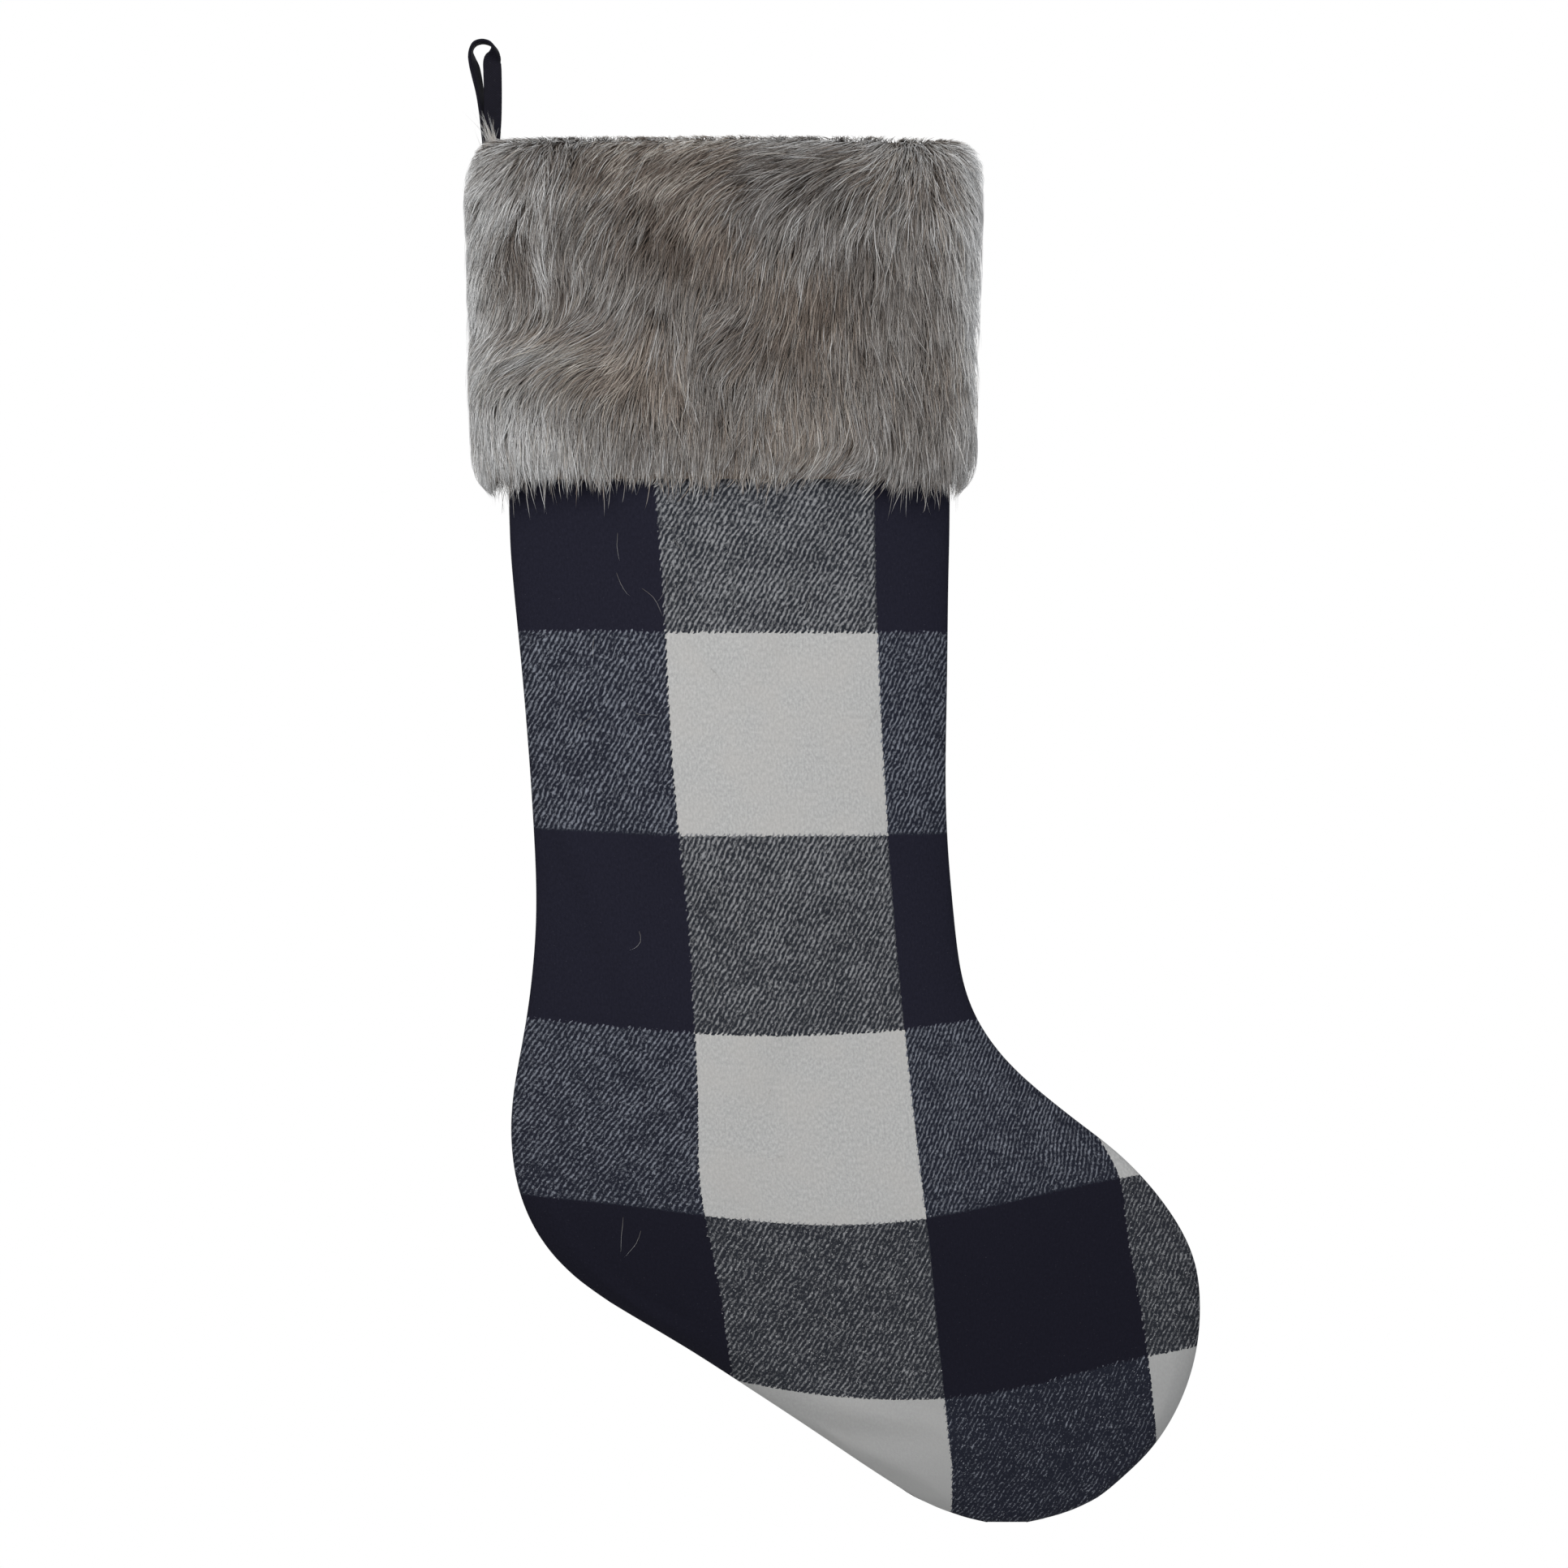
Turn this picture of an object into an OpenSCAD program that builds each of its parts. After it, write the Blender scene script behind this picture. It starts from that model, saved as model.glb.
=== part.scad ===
// Hanging stocking: a lined plaid stocking with a faux-fur cuff and a folded hanging loop.
// Millimetres. +Z is up, +X runs towards the toe, -Y is the front and +Y faces the wall.
// The origin is the centre of the hanging loop's eye, where a hook or peg carries it.

/* [Stocking body] */
// Width of the leg at the mouth
leg_w = 164.5; // [150:0.5:170]
// Height from the top of the cloth panels to the lowest point of the foot
body_h = 503.5; // [460:0.5:540]
// Depth of the body across the leg, front to back
body_d = 33; // [30:1:36]
// Thickness of the brushed plaid cloth
cloth_t = 1.5; // [1:0.1:2]
// Thickness of the lining cloth
lining_t = 0.8; // [0.5:0.1:1]
// Distance from the plaid cloth's edge to the lining's edge, which the turned seams fill
seam_w = 7; // [6.5:0.5:9]

/* [Fur cuff] */
// Height of the cuff with its pile
cuff_h = 129; // [100:1:150]
// Depth of the cuff with its pile, front to back
cuff_d = 50; // [46:1:60]
// How far the pile reaches past the leg on the heel side
cuff_over_heel = 14.4; // [13:0.2:16]
// How far the pile reaches past the leg on the toe side
cuff_over_toe = 12; // [9:0.5:16]
// How much narrower the cuff is at the bottom, each side
cuff_taper = 3; // [0:0.5:4]
// Radius of the cuff's upper corners
cuff_corner_r = 12; // [8:0.5:14]

/* [Hanging loop] */
// Radius of the eye that goes over the hook
eye_r = 3.4; // [3:0.1:3.6]
// Width of the folded strip where it goes round the hook
strip_w = 8; // [6:0.5:10]
// Width of the loop where it is sewn into the cuff
loop_base_w = 7.2; // [6:0.2:7.4]
// Thickness of the folded strip where it is sewn in
strip_t = 2; // [1.6:0.1:2.2]
// Distance from the eye down to the fold where the loop flexes
loop_drop = 31.5; // [28:0.5:34]

/* [Thread] */
// Radius of the seam thread
thread_r = 0.4; // [0.3:0.05:0.45]
// Number of stitches round the mouth
mouth_stitch_count = 56; // [30:1:70]

/* [Hidden] */

$fn = 48;

// Clearances between neighbouring pieces
layer_gap = 0.3;
seam_gap = 0.1;
sew_gap = 0.15;
thread_gap = 0.15;

// Heights, measured from the eye
flex_z = -loop_drop;
bead_r = 1.6;
cuff_top = flex_z - 2.8;
cuff_bottom = cuff_top - cuff_h;
binding_top = cuff_top - 2.2;
binding_h = 3.7;
panel_top = binding_top - binding_h - layer_gap;

// The leg's edges at the mouth
leg_x0 = 8.4;
leg_mid = leg_x0 + leg_w / 2;
half_d = body_d / 2;

// The stocking's outline as matched pairs of points, heel side and toe side, from the mouth down
// the leg, round the heel and instep, and along the foot to the toe. Each point is across from the
// heel-side edge and down from the top of the panels, for a 164.5 mm leg 503.5 mm high. The third
// value is the share of the full depth there.
OUTLINE = [
    [[0, 0], [164.5, 0], 1],
    [[1.4, 124], [164.5, 124], 1],
    [[2.5, 151], [164, 153], 1],
    [[6.5, 192], [163.5, 192], 1],
    [[10, 238], [163, 236], 1],
    [[11.5, 278], [165.5, 274], 1],
    [[8.5, 313], [170.5, 308], 1],
    [[2, 354], [184, 331], 1],
    [[7, 387], [206, 350.5], 1],
    [[26, 413], [228, 367.5], 1],
    [[68.5, 439.5], [244.5, 386], 1],
    [[110, 466.5], [255, 405.5], 0.97],
    [[151, 493.5], [257, 427], 0.9],
    [[172.5, 501.7], [254.2, 446], 0.8],
    [[187.5, 503.5], [247.5, 463], 0.66],
    [[203.5, 500.5], [238, 477], 0.48],
    [[216, 495.5], [227, 487], 0.28],
    [[220.5, 493], [223.5, 490.7], 0.1]
];
outline_w = 164.5;
outline_h = 503.5;
SPAN_STEPS = 3;
COLUMNS = 14;

// Where each layer stops short of the outline's last row at the toe
shell_end = 0.985;
seam_end = 0.87;
lining_seam_end = 0.83;
lining_end = 0.8;
lining_inner_end = 0.785;

function clamp(v, lo, hi) = max(lo, min(hi, v));

// A smooth curve through four neighbouring values
function smooth(a, b, c, d, t) =
    0.5 * (2 * b + (c - a) * t + (2 * a - 5 * b + 4 * c - d) * t * t
    + (3 * b - a - 3 * c + d) * t * t * t);

function pair(i) = OUTLINE[clamp(i, 0, len(OUTLINE) - 1)];

function spline(i, t, side) =
    [for (k = [0, 1]) smooth(
        pair(i - 1)[side][k], pair(i)[side][k], pair(i + 1)[side][k], pair(i + 2)[side][k], t)];

function placed(p) =
    [leg_x0 + p[0] * leg_w / outline_w, panel_top - p[1] * body_h / outline_h];

// The outline at u, from 0 at the mouth to 1 at the toe, on side 0 (heel) or 1 (toe)
function edge_at(u, side) =
    let (s = u * (len(OUTLINE) - 1), i = min(floor(s), len(OUTLINE) - 2))
    placed(spline(i, s - i, side));

function depth_at(u) =
    let (s = u * (len(OUTLINE) - 1), i = min(floor(s), len(OUTLINE) - 2))
    half_d * (pair(i)[2] + (pair(i + 1)[2] - pair(i)[2]) * (s - i));

function unit(v) = v / norm(v);

// One row across the stocking, drawn in by inset at the edges and by sink in depth
function row(u, inset, sink, side) =
    let (
        heel = edge_at(u, 0),
        toe = edge_at(u, 1),
        across = unit(toe - heel),
        inward = min(inset, norm(toe - heel) * 0.42),
        a = heel + across * inward,
        b = toe - across * inward,
        deep = max(depth_at(u) - sink, seam_gap + 0.15)
    )
    [for (c = [0 : COLUMNS])
        let (phi = 180 * c / COLUMNS, s = (1 - cos(phi)) / 2, p = a + (b - a) * s)
        [p[0], side * (seam_gap + (deep - seam_gap) * sin(phi)), p[1]]];

row_count = SPAN_STEPS * (len(OUTLINE) - 1);

function sheet_points(inset, sink, end, side) =
    [for (r = [0 : row_count]) each row(end * r / row_count, inset, sink, side)];

// Quads of a grid of points, numbered from first
function grid_faces(first) =
    [for (r = [0 : row_count - 1], c = [0 : COLUMNS - 1])
        let (w = COLUMNS + 1, p = first + r * w + c)
        [p, p + 1, p + w + 1, p + w]];

function turned(faces) = [for (f = faces) [for (i = [len(f) - 1 : -1 : 0]) f[i]]];

// Each quad becomes two triangles, so no face is warped
function triangles(faces) = [for (f = faces) each [[f[0], f[1], f[2]], [f[0], f[2], f[3]]]];

// Quads that close the gap between two sheets round all four sides
function rim_faces(second) =
    let (w = COLUMNS + 1, last = row_count * w)
    concat(
        [for (c = [0 : COLUMNS - 1]) [c + 1, c, second + c, second + c + 1]],
        [for (c = [0 : COLUMNS - 1])
            [last + c, last + c + 1, second + last + c + 1, second + last + c]],
        [for (r = [0 : row_count - 1])
            [r * w, r * w + w, second + r * w + w, second + r * w]],
        [for (r = [0 : row_count - 1])
            let (p = r * w + COLUMNS) [p + w, p, second + p, second + p + w]]
    );

// A curved cloth panel between an outer and an inner surface, on side -1 (front) or 1 (back)
module cloth_panel(inset, thick, sink, end, inner_end, side) {
    outer = sheet_points(inset, sink, end, side);
    inner = sheet_points(inset + thick, sink + thick, inner_end, side);
    faces = triangles(concat(
        grid_faces(0), turned(grid_faces(len(outer))), rim_faces(len(outer))));
    polyhedron(concat(outer, inner), side < 0 ? faces : turned(faces), convexity = 10);
}

// A round thread swept along a path that lies in the seam's plane, y = 0
module seam_thread_along(path, r) {
    sides = 6;
    n = len(path);
    points = [for (i = [0 : n - 1])
        let (
            before = path[max(i - 1, 0)],
            after = path[min(i + 1, n - 1)],
            along = unit(after - before),
            normal = [along[1], -along[0]]
        )
        for (k = [0 : sides - 1])
            let (a = 360 * k / sides)
            [path[i][0] + normal[0] * r * cos(a), r * sin(a), path[i][1] + normal[1] * r * cos(a)]];
    walls = [for (i = [0 : n - 2], k = [0 : sides - 1])
        let (p = i * sides + k, q = i * sides + (k + 1) % sides)
        [p, q, q + sides, p + sides]];
    caps = [[for (k = [sides - 1 : -1 : 0]) k], [for (k = [0 : sides - 1]) (n - 1) * sides + k]];
    polyhedron(points, concat(triangles(walls), caps), convexity = 10);
}

// The seam line at a distance inside the outline: down the heel side and up the toe side
function seam_path(inset, end) =
    let (n = 34)
    concat(
        [for (i = [0 : n]) seam_point(0.004 + (end - 0.004) * i / n, inset, 0)],
        [for (i = [n : -1 : 0]) seam_point(0.004 + (end - 0.004) * i / n, inset, 1)]
    );

function seam_point(u, inset, side) =
    let (near = edge_at(u, side), far = edge_at(u, 1 - side))
    near + unit(far - near) * min(inset, norm(far - near) * 0.4);

// Points round an ellipse, for the shapes at the mouth and the cuff's lower edge
function ellipse(mid, a, b, n) =
    [for (i = [0 : n - 1]) [mid + a * cos(360 * i / n), b * sin(360 * i / n)]];

function arc(x, y, r, from, to, n) =
    [for (i = [0 : n]) let (t = from + (to - from) * i / n) [x + r * cos(t), y + r * sin(t)]];

// Drawn in XZ and given a thickness along Y, centred on the seam
module slab_xz(depth) rotate([90, 0, 0]) linear_extrude(depth, center = true) children();

// Drawn in YZ and run along X
module slab_yz(length) rotate([90, 0, 90]) linear_extrude(length) children();

loop_base_mid = 3;
loop_base_x0 = loop_base_mid - loop_base_w / 2;
loop_base_x1 = loop_base_mid + loop_base_w / 2;
loop_head_r = eye_r + 2;
loop_head_x = 0.6;
loop_head_z = -1.2;

// The folded strip: round the hook at the top, twisted flat to where it is sewn in
module hanging_loop() color("#1c1b24") {
    difference() {
        intersection() {
            union() {
                translate([loop_head_x, 0, loop_head_z]) rotate([90, 0, 0])
                    cylinder(r = loop_head_r, h = strip_w, center = true);
                slab_xz(strip_w) polygon([
                    [loop_head_x - loop_head_r, loop_head_z],
                    [loop_base_x0, flex_z],
                    [loop_base_x1, flex_z],
                    [loop_head_x + loop_head_r + 1.2, -18],
                    [loop_head_x + loop_head_r + 1.2, -6],
                    [loop_head_x + loop_head_r, loop_head_z]
                ]);
            }
            translate([-20, 0, 0]) slab_yz(40) polygon([
                [-strip_w / 2, 10], [-strip_w / 2, -14],
                [-bead_r, flex_z + 3], [-bead_r, flex_z],
                [bead_r, flex_z], [bead_r, flex_z + 3],
                [strip_w / 2, -14], [strip_w / 2, 10]
            ]);
        }
        rotate([90, 0, 0]) cylinder(r = eye_r, h = strip_w + 2, center = true);
        slab_xz(strip_w + 2) polygon([[-1.8, -2], [0.9, -2], [1, -10], [1.1, -16.5], [0.6, -16.5]]);
    }
    translate([loop_base_x0, 0, flex_z]) rotate([0, 90, 0])
        cylinder(r = bead_r, h = loop_base_w);
}

tab_top = flex_z - bead_r - layer_gap;
tab_h = 17;

// The ends of the strip, sewn between the two halves of the cuff
module loop_tab() color("#1c1b24")
    translate([loop_base_x0, -strip_t / 2, tab_top - tab_h])
        cube([loop_base_w, strip_t, tab_h]);

tack_r = 0.3;
tack_rows = 7;
tack_pitch = 1.8;
tack_y = strip_t / 2 + tack_r + 0.03;
tack_top = tab_top - 3;

// The bar tack: short bars of thread on both faces of the tab
module loop_stitches() color("#15151c")
    for (side = [-1, 1], i = [0 : tack_rows - 1])
        translate([loop_base_x0 + 0.8, side * tack_y, tack_top - i * tack_pitch])
            rotate([0, 90 + (i % 2 == 0 ? 6 : -6), 0])
                cylinder(r = tack_r, h = loop_base_w - 1.6, $fn = 16);

module outer_front() color("#3c3d47")
    cloth_panel(0, cloth_t, 0, 1, shell_end, -1);

module outer_back() color("#3c3d47")
    cloth_panel(0, cloth_t, 0, 1, shell_end, 1);

module outer_seam_thread() color("#20202a")
    seam_thread_along(seam_path(cloth_t + 2, seam_end), thread_r);

lining_sink = cloth_t + layer_gap;

module lining_front() color("#d9d5cb")
    cloth_panel(seam_w, lining_t, lining_sink, lining_end, lining_inner_end, -1);

module lining_back() color("#d9d5cb")
    cloth_panel(seam_w, lining_t, lining_sink, lining_end, lining_inner_end, 1);

module lining_seam_thread() color("#e4e1d8")
    seam_thread_along(seam_path(cloth_t + 3.9, lining_seam_end), thread_r);

cuff_x0 = leg_x0 - cuff_over_heel;
cuff_x1 = leg_x0 + leg_w + cuff_over_toe;
cuff_mid = (cuff_x0 + cuff_x1) / 2;
cuff_half_w = (cuff_x1 - cuff_x0) / 2;
cuff_half_d = cuff_d / 2;
cuff_fullness = 1.15;
cuff_bluntness = 0.7;
cuff_flat_from = asin(pow(1 / cuff_fullness, 1 / cuff_bluntness));
cuff_low_corner_r = 10;

// The cuff's outline seen from above: blunt rounded ends and a flat middle, front and back
function cuff_end(from, to) =
    [for (i = [0 : 8])
        let (t = from + (to - from) * i / 8, s = sign(sin(t)))
        [cuff_mid + cuff_half_w * cos(t),
            s * min(cuff_half_d, cuff_half_d * cuff_fullness * pow(abs(sin(t)), cuff_bluntness))]];

module cuff_plan() polygon(concat(
    cuff_end(-cuff_flat_from, cuff_flat_from),
    cuff_end(180 - cuff_flat_from, 180 + cuff_flat_from)
));

module cuff_face() polygon(concat(
    arc(cuff_x1 - cuff_corner_r, cuff_top - cuff_corner_r, cuff_corner_r, 0, 90, 6),
    arc(cuff_x0 + cuff_corner_r, cuff_top - cuff_corner_r, cuff_corner_r, 90, 180, 6),
    arc(cuff_x0 + cuff_taper + cuff_low_corner_r, cuff_bottom + cuff_low_corner_r,
        cuff_low_corner_r, 180, 270, 5),
    arc(cuff_x1 - cuff_taper - cuff_low_corner_r, cuff_bottom + cuff_low_corner_r,
        cuff_low_corner_r, 270, 360, 5)
));

cuff_roll_r = 9;
cuff_hem_r = 6;

module cuff_side() polygon(concat(
    arc(cuff_half_d - cuff_roll_r, cuff_top - cuff_roll_r, cuff_roll_r, 0, 90, 5),
    arc(cuff_roll_r - cuff_half_d, cuff_top - cuff_roll_r, cuff_roll_r, 90, 180, 5),
    arc(cuff_hem_r - cuff_half_d, cuff_bottom + cuff_hem_r, cuff_hem_r, 180, 270, 4),
    arc(cuff_half_d - cuff_hem_r, cuff_bottom + cuff_hem_r, cuff_hem_r, 270, 360, 4)
));

cuff_thread_x = [cuff_x0 + 4.5, cuff_x1 - 5];
cuff_thread_h = cuff_h - 30;
cuff_thread_z = cuff_bottom + 12;

// One half of the fur band, with the room it leaves for the leg, the loop's tab and its seams
module cuff_half(side) difference() {
    intersection() {
        translate([0, 0, cuff_bottom]) linear_extrude(cuff_h) cuff_plan();
        slab_xz(cuff_d + 2) cuff_face();
        translate([cuff_x0 - 1, 0, 0]) slab_yz(cuff_x1 - cuff_x0 + 2) cuff_side();
        translate([cuff_x0 - 1, side < 0 ? -cuff_d : sew_gap, cuff_bottom - 1])
            cube([cuff_x1 - cuff_x0 + 2, cuff_d - sew_gap, cuff_h + 2]);
    }
    translate([0, 0, cuff_bottom - 1]) linear_extrude(cuff_h + 2)
        polygon(ellipse(leg_mid, leg_w / 2 + 0.6, half_d + 0.45, 48));
    translate([loop_base_x0 - 0.3, -strip_t / 2 - 0.9, tab_top - tab_h - 0.4])
        cube([loop_base_w + 0.6, strip_t + 1.8, tab_h + 4]);
    for (x = cuff_thread_x)
        translate([x, 0, cuff_thread_z - 0.5])
            cylinder(r = thread_r + thread_gap, h = cuff_thread_h + 1, $fn = 24);
}

module cuff_front() color("#8a837c") cuff_half(-1);

module cuff_back() color("#8a837c") cuff_half(1);

// The thread that closes the cuff's two side seams
module cuff_seam_thread() color("#5c5650")
    for (x = cuff_thread_x)
        translate([x, 0, cuff_thread_z]) cylinder(r = thread_r, h = cuff_thread_h, $fn = 24);

binding_in_x = seam_w + lining_t;
binding_in_y = lining_sink + lining_t;

// The tape folded over the raw top edges of the cloth and the lining
module mouth_binding() color("#c9c4b8")
    translate([0, 0, binding_top - binding_h]) linear_extrude(binding_h) difference() {
        polygon(ellipse(leg_mid, leg_w / 2, half_d, 48));
        polygon(ellipse(leg_mid, leg_w / 2 - binding_in_x, half_d - binding_in_y, 48));
    }

stitch_r = 0.3;
stitch_fill = 0.6;

// Top stitching along the middle of the binding
module mouth_stitches() color("#ddd9cf") {
    a = leg_w / 2 - binding_in_x / 2;
    b = half_d - binding_in_y / 2;
    for (i = [0 : mouth_stitch_count - 1]) {
        t = 360 * i / mouth_stitch_count;
        next = t + 360 * stitch_fill / mouth_stitch_count;
        from = [leg_mid + a * cos(t), b * sin(t)];
        to = [leg_mid + a * cos(next), b * sin(next)];
        translate([from[0], from[1], binding_top + stitch_r + 0.02])
            rotate([0, 90, atan2(to[1] - from[1], to[0] - from[0])])
                cylinder(r = stitch_r, h = norm(to - from), $fn = 16);
    }
}

hanging_loop();
loop_tab();
loop_stitches();
outer_front();
outer_back();
outer_seam_thread();
lining_front();
lining_back();
lining_seam_thread();
cuff_front();
cuff_back();
cuff_seam_thread();
mouth_binding();
mouth_stitches();
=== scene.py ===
import math

import bpy
import numpy as np
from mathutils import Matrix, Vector
from mathutils.bvhtree import BVHTree


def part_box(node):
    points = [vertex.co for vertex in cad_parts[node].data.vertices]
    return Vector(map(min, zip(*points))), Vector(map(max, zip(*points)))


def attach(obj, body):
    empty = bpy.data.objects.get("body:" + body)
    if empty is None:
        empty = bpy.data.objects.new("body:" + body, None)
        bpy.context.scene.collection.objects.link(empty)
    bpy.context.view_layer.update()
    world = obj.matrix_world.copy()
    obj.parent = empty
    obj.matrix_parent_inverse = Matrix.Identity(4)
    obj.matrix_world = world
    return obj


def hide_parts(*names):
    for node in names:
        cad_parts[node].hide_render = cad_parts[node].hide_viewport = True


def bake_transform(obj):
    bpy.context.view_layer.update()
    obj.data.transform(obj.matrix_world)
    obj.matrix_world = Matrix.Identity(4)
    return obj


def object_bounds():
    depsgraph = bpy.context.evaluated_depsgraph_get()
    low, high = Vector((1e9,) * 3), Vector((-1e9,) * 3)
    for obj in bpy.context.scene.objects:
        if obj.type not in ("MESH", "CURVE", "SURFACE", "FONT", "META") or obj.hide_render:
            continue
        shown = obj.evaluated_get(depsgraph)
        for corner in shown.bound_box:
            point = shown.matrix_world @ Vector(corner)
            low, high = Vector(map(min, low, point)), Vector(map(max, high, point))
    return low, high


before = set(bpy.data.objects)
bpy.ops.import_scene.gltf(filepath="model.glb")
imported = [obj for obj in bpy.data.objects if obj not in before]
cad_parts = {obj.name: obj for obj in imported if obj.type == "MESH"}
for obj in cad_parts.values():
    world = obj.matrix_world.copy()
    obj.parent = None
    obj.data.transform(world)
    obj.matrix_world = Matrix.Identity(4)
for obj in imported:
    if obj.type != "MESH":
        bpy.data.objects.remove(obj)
cad_low, cad_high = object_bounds()

MM = 0.001
RNG = np.random.default_rng(2024)


# ---------------- camera and light

FRAME_SIDE = 0.5796       # metres across the picture at the stocking
AIM_LEFT = 0.0182         # the picture's middle is this far to the heel side of the object's
AIM_DOWN = 0.0008
LENS_MM, SENSOR_MM = 90, 36
SURROUND_SEEN = 1.0       # strength of the white surround as the camera sees it
SURROUND_FILL = 0.33      # and as the object sees it
FLOOR_DROP = 0.07         # from the lowest point of the foot down to the floor
FLOOR_HALF = 0.75         # half the floor's width, and how far it comes forward
FLOOR_BACK = 0.2          # how far it goes behind the stocking


def make_camera():
    """Straight on, as in the photograph."""
    middle = (cad_low + cad_high) / 2
    distance = FRAME_SIDE / SENSOR_MM * LENS_MM
    data = bpy.data.cameras.new("camera")
    data.lens, data.sensor_width = LENS_MM, SENSOR_MM
    camera = bpy.data.objects.new("camera", data)
    bpy.context.collection.objects.link(camera)
    camera.location = (middle.x - AIM_LEFT, -distance, middle.z - AIM_DOWN)
    camera.rotation_euler = (math.pi / 2, 0, 0)
    bpy.context.scene.camera = camera


def area_light(name, place, aim, size, power, colour):
    """A square light, its side in metres and its power in watts."""
    data = bpy.data.lights.new(name, "AREA")
    data.size, data.energy, data.color = size, power, colour
    light = bpy.data.objects.new(name, data)
    light.location = place
    light.rotation_euler = (Vector(aim) - Vector(place)).to_track_quat("-Z", "Y").to_euler()
    bpy.context.collection.objects.link(light)


def make_studio():
    """A white surround that the camera sees as paper white, three soft lights and a pale floor."""
    world = bpy.data.worlds.new("studio")
    bpy.context.scene.world = world
    world.use_nodes = True
    n = Nodes(world)
    shown = n.tree.nodes["Background"]
    n.put(shown.inputs["Color"], (1, 1, 1, 1))
    n.put(shown.inputs["Strength"], SURROUND_SEEN)
    fill = n.make("Background", {"Color": (0.95, 0.97, 1, 1), "Strength": SURROUND_FILL})
    seen = n.make("LightPath", {}, "Is Camera Ray")
    mixed = n.make("MixShader", {0: seen, 1: fill, 2: shown.outputs[0]})
    n.put(n.tree.nodes["World Output"].inputs["Surface"], mixed)

    middle = (cad_low + cad_high) / 2
    top = Vector((middle.x, 0, cad_high.z))
    area_light("key", top + Vector((-0.40, -0.85, 0.36)), top + Vector((0, 0, -0.18)), 0.7, 9.2,
               (1, 0.99, 0.97))
    area_light("fill", middle + Vector((0.9, -1.1, 0.42)), middle, 1.1, 5, (0.96, 0.98, 1))
    area_light("back", middle + Vector((0.3, 1.5, 0.7)), middle, 1.4, 11, (1, 1, 1))

    left, right = middle.x - FLOOR_HALF, middle.x + FLOOR_HALF
    floor_z = cad_low.z - FLOOR_DROP
    points = [(left, -FLOOR_HALF, floor_z), (right, -FLOOR_HALF, floor_z),
              (right, FLOOR_BACK, floor_z), (left, FLOOR_BACK, floor_z)]
    material, _ = new_material("studio_floor_paint", (0.86, 0.86, 0.85), 0.8)
    floor = make_mesh("studio_floor", points, np.array([[0, 1, 2, 3]]), material=material)
    bpy.context.scene.view_settings.view_transform = "Standard"


# ---------------- meshes

def make_mesh(name, points, *face_sets, material=None, uv=None, uv_name="cloth"):
    """An object from points and arrays of faces with the same number of corners. uv is per point."""
    mesh = bpy.data.meshes.new(name)
    points = np.asarray(points, np.float32)
    mesh.vertices.add(len(points))
    mesh.vertices.foreach_set("co", points.ravel())
    corners = np.concatenate([np.asarray(f).ravel() for f in face_sets]).astype(np.int32)
    counts = np.concatenate([np.full(len(f), np.asarray(f).shape[1]) for f in face_sets])
    starts = np.concatenate([[0], np.cumsum(counts)[:-1]]).astype(np.int32)
    mesh.loops.add(len(corners))
    mesh.loops.foreach_set("vertex_index", corners)
    mesh.polygons.add(len(counts))
    mesh.polygons.foreach_set("loop_start", starts)
    mesh.polygons.foreach_set("use_smooth", np.ones(len(counts), bool))
    if uv is not None:
        layer = mesh.uv_layers.new(name=uv_name)
        layer.data.foreach_set("uv", np.asarray(uv, np.float32)[corners].ravel())
    mesh.update(calc_edges=True)
    mesh.validate()
    if material is not None:
        mesh.materials.append(material)
    obj = bpy.data.objects.new(name, mesh)
    bpy.context.collection.objects.link(obj)
    return obj


def grid_quads(rows, columns, closed=False, flip=False):
    """The quads of a rows by columns grid of points, closed across the columns if it is a tube."""
    across = columns if closed else columns - 1
    i, j = np.meshgrid(np.arange(rows - 1), np.arange(across), indexing="ij")
    a = i * columns + j
    b = i * columns + (j + 1) % columns
    quads = np.stack([a, b, b + columns, a + columns], -1).reshape(-1, 4)
    return quads[:, ::-1] if flip else quads


def tree_of(mesh):
    return BVHTree.FromPolygons([v.co for v in mesh.vertices], [p.vertices for p in mesh.polygons])


def smoothed(values, reach):
    """A running mean down the rows, which keeps the first and the last row where they are."""
    kernel = np.hanning(2 * reach + 3)[1:-1]
    kernel /= kernel.sum()
    first = 2 * values[0] - values[reach:0:-1]
    last = 2 * values[-1] - values[-2:-reach - 2:-1]
    padded = np.concatenate([first, values, last])
    return np.stack([np.convolve(padded[:, k], kernel, "valid") for k in range(values.shape[1])], 1)


def unit(vectors):
    return vectors / (np.linalg.norm(vectors, axis=-1, keepdims=True) + 1e-12)


def clip01(value):
    return np.clip(value, 0, 1)


def bell(value, middle, reach):
    """A smooth hump with its top, 1, at the middle."""
    return np.exp(-((value - middle) / reach) ** 2)


def value_noise(x, y, seed):
    """Smooth noise from -1 to 1 with features about 1 across."""
    cells = 64
    table = np.random.default_rng(seed).uniform(-1, 1, (cells, cells))
    xi, yi = np.floor(x).astype(int), np.floor(y).astype(int)
    fx, fy = x - xi, y - yi
    fx, fy = fx * fx * (3 - 2 * fx), fy * fy * (3 - 2 * fy)

    def at(i, j):
        return table[i % cells, j % cells]

    low = at(xi, yi) * (1 - fx) + at(xi + 1, yi) * fx
    high = at(xi, yi + 1) * (1 - fx) + at(xi + 1, yi + 1) * fx
    return low * (1 - fy) + high * fy


# ---------------- materials

def new_material(name, colour, roughness, specular=0.25):
    material = bpy.data.materials.new(name)
    material.use_nodes = True
    shader = material.node_tree.nodes["Principled BSDF"]
    for socket, value in (("Base Color", (*colour, 1)), ("Roughness", roughness),
                          ("Specular IOR Level", specular)):
        shader.inputs[socket].default_value = value
    return material, shader


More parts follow.
